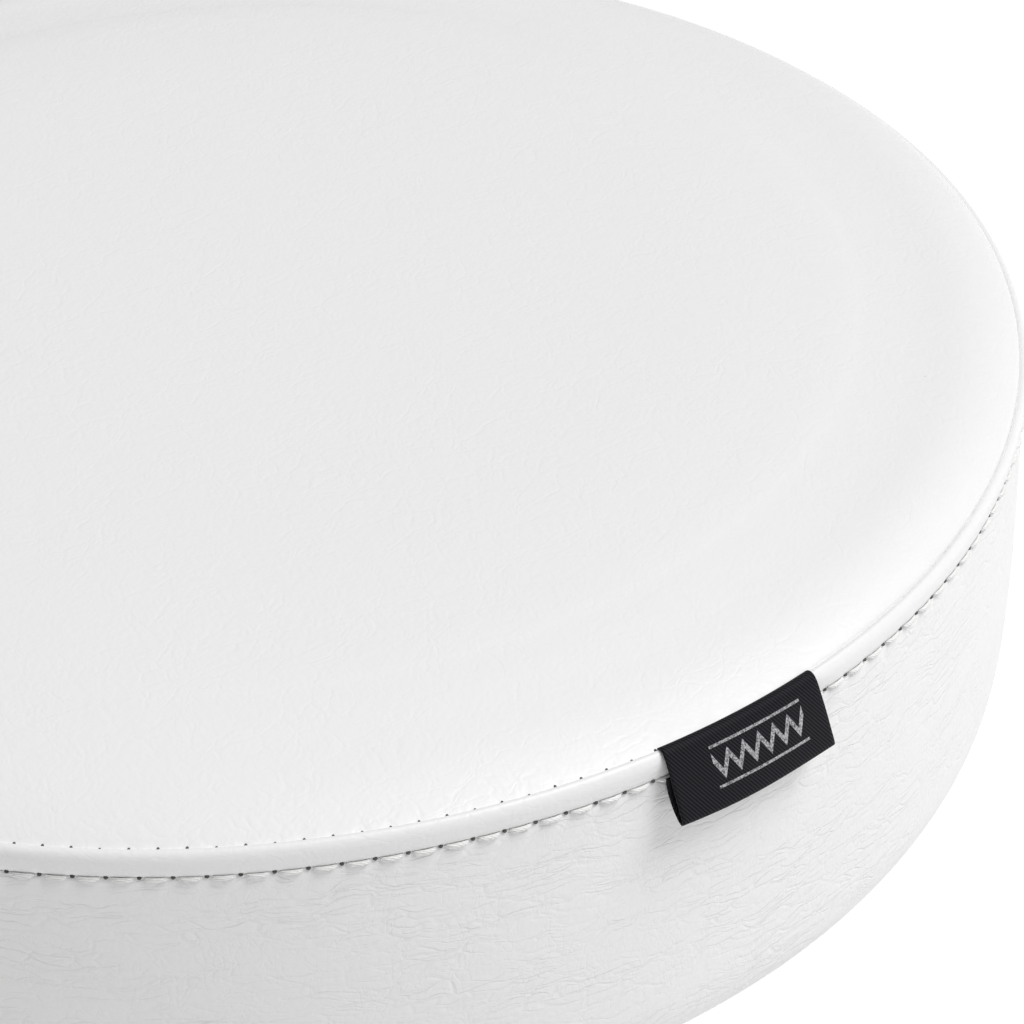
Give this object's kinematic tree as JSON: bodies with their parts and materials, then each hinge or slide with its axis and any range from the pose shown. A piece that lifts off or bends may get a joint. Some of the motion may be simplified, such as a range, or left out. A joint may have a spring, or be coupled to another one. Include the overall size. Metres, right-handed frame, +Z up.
{
  "type": "rolling stylist stool",
  "caption": "Round padded swivel stool on a gas lift with a star base and twin-wheel casters, a height lever under the seat and a woven label on the seat's rim.",
  "frame": {"origin": "on the floor, on the axis of the column", "axes": "+Z up along the column; +X towards the height lever; -Y towards the sewn label"},
  "size_m": [0.5863, 0.6095, 0.4435],
  "materials": {
    "white_vinyl": "satin",
    "foam": "matte",
    "plywood": "matte",
    "black_cloth": "matte",
    "woven_ribbon": "satin",
    "black_steel": "satin",
    "zinc": "satin",
    "chrome": "polished",
    "black_plastic": "satin",
    "rubber": "matte",
    "polished_alloy": "polished",
    "wheel_plastic": "satin",
    "tread": "matte"
  },
  "bodies": {
    "base": {"star_base": "polished_alloy", "caster_stems": "chrome", "column_tube": "chrome", "column_bush": "black_plastic"},
    "spindle": {"piston_rod": "chrome", "piston": "black_plastic", "rod_clip": "zinc", "thrust_bearing": "zinc", "rubber_buffer": "rubber"},
    "seat": {"gas_cylinder": "chrome", "rod_seal": "black_plastic", "valve_block": "zinc", "taper_socket": "black_steel", "seat_plate": "black_steel", "lever_bracket": "black_steel", "lever_pin": "zinc", "plate_bolts": "zinc", "tee_nuts": "zinc", "seat_board": "plywood", "seat_foam": "foam", "seat_top_panel": "white_vinyl", "seat_side_band": "white_vinyl", "seat_seam_roll": "white_vinyl", "dust_cloth": "black_cloth", "staples": "zinc", "woven_label": "woven_ribbon"},
    "lever": {"lever_rod": "chrome", "lever_grip": "black_plastic"},
    "button": {"release_button": "zinc"},
    "caster_1": {"caster_1_hood": "black_plastic", "caster_1_axle": "zinc"},
    "caster_1_left": {"caster_1_wheel_left": "wheel_plastic", "caster_1_tread_left": "tread"},
    "caster_1_right": {"caster_1_wheel_right": "wheel_plastic", "caster_1_tread_right": "tread"},
    "caster_2": {"caster_2_hood": "black_plastic", "caster_2_axle": "zinc"},
    "caster_2_left": {"caster_2_wheel_left": "wheel_plastic", "caster_2_tread_left": "tread"},
    "caster_2_right": {"caster_2_wheel_right": "wheel_plastic", "caster_2_tread_right": "tread"},
    "caster_3": {"caster_3_hood": "black_plastic", "caster_3_axle": "zinc"},
    "caster_3_left": {"caster_3_wheel_left": "wheel_plastic", "caster_3_tread_left": "tread"},
    "caster_3_right": {"caster_3_wheel_right": "wheel_plastic", "caster_3_tread_right": "tread"},
    "caster_4": {"caster_4_hood": "black_plastic", "caster_4_axle": "zinc"},
    "caster_4_left": {"caster_4_wheel_left": "wheel_plastic", "caster_4_tread_left": "tread"},
    "caster_4_right": {"caster_4_wheel_right": "wheel_plastic", "caster_4_tread_right": "tread"},
    "caster_5": {"caster_5_hood": "black_plastic", "caster_5_axle": "zinc"},
    "caster_5_left": {"caster_5_wheel_left": "wheel_plastic", "caster_5_tread_left": "tread"},
    "caster_5_right": {"caster_5_wheel_right": "wheel_plastic", "caster_5_tread_right": "tread"}
  },
  "joints": [
    {"name": "seat_turn", "type": "hinge", "parent": "base", "child": "spindle", "pos_m": [0, 0, 0.05], "axis": [0, 0, 1], "continuous": true},
    {"name": "gas_lift", "type": "slide", "parent": "spindle", "child": "seat", "axis": [0, 0, 1], "range_m": [0, 0.14]},
    {"name": "lever_pull", "type": "hinge", "parent": "seat", "child": "lever", "pos_m": [0.036, 0, 0.343], "axis": [0, -1, 0], "range_deg": [0, 5.5], "stiffness_Nm_per_rad": 2, "springref_deg": -3.44},
    {"name": "release_press", "type": "slide", "parent": "seat", "child": "button", "axis": [0, 0, -1], "range_m": [0, 0.0039]},
    {"name": "caster_1_swivel", "type": "hinge", "parent": "base", "child": "caster_1", "pos_m": [-0.08961, 0.2462, 0.057], "axis": [0, 0, 1], "continuous": true},
    {"name": "caster_1_left_spin", "type": "hinge", "parent": "caster_1", "child": "caster_1_left", "pos_m": [-0.10021, 0.26316, 0.025], "axis": [0.848, 0.5299, 0], "continuous": true},
    {"name": "caster_1_right_spin", "type": "hinge", "parent": "caster_1", "child": "caster_1_right", "pos_m": [-0.10021, 0.26316, 0.025], "axis": [0.848, 0.5299, 0], "continuous": true},
    {"name": "caster_2_swivel", "type": "hinge", "parent": "base", "child": "caster_2", "pos_m": [-0.26184, -0.00914, 0.057], "axis": [0, 0, 1], "continuous": true},
    {"name": "caster_2_left_spin", "type": "hinge", "parent": "caster_2", "child": "caster_2_left", "pos_m": [-0.27802, 0.00261, 0.025], "axis": [0.5878, 0.809, 0], "continuous": true},
    {"name": "caster_2_right_spin", "type": "hinge", "parent": "caster_2", "child": "caster_2_right", "pos_m": [-0.27802, 0.00261, 0.025], "axis": [0.5878, 0.809, 0], "continuous": true},
    {"name": "caster_3_swivel", "type": "hinge", "parent": "base", "child": "caster_3", "pos_m": [-0.07222, -0.25185, 0.057], "axis": [0, 0, 1], "continuous": true},
    {"name": "caster_3_left_spin", "type": "hinge", "parent": "caster_3", "child": "caster_3_left", "pos_m": [-0.05963, -0.26739, 0.025], "axis": [-0.7771, -0.6293, 0], "continuous": true},
    {"name": "caster_3_right_spin", "type": "hinge", "parent": "caster_3", "child": "caster_3_right", "pos_m": [-0.05963, -0.26739, 0.025], "axis": [-0.7771, -0.6293, 0], "continuous": true},
    {"name": "caster_4_swivel", "type": "hinge", "parent": "base", "child": "caster_4", "pos_m": [0.21721, -0.14651, 0.057], "axis": [0, 0, 1], "continuous": true},
    {"name": "caster_4_left_spin", "type": "hinge", "parent": "caster_4", "child": "caster_4_left", "pos_m": [0.22896, -0.16269, 0.025], "axis": [-0.809, -0.5878, 0], "continuous": true},
    {"name": "caster_4_right_spin", "type": "hinge", "parent": "caster_4", "child": "caster_4_right", "pos_m": [0.22896, -0.16269, 0.025], "axis": [-0.809, -0.5878, 0], "continuous": true},
    {"name": "caster_5_swivel", "type": "hinge", "parent": "base", "child": "caster_5", "pos_m": [0.20646, 0.1613, 0.057], "axis": [0, 0, 1], "continuous": true},
    {"name": "caster_5_left_spin", "type": "hinge", "parent": "caster_5", "child": "caster_5_left", "pos_m": [0.21395, 0.17985, 0.025], "axis": [0.9272, -0.3746, 0], "continuous": true},
    {"name": "caster_5_right_spin", "type": "hinge", "parent": "caster_5", "child": "caster_5_right", "pos_m": [0.21395, 0.17985, 0.025], "axis": [0.9272, -0.3746, 0], "continuous": true}
  ],
  "couplings": [
    {"joint": "release_press", "follows": "lever_pull", "m_per_rad": 0.04}
  ]
}
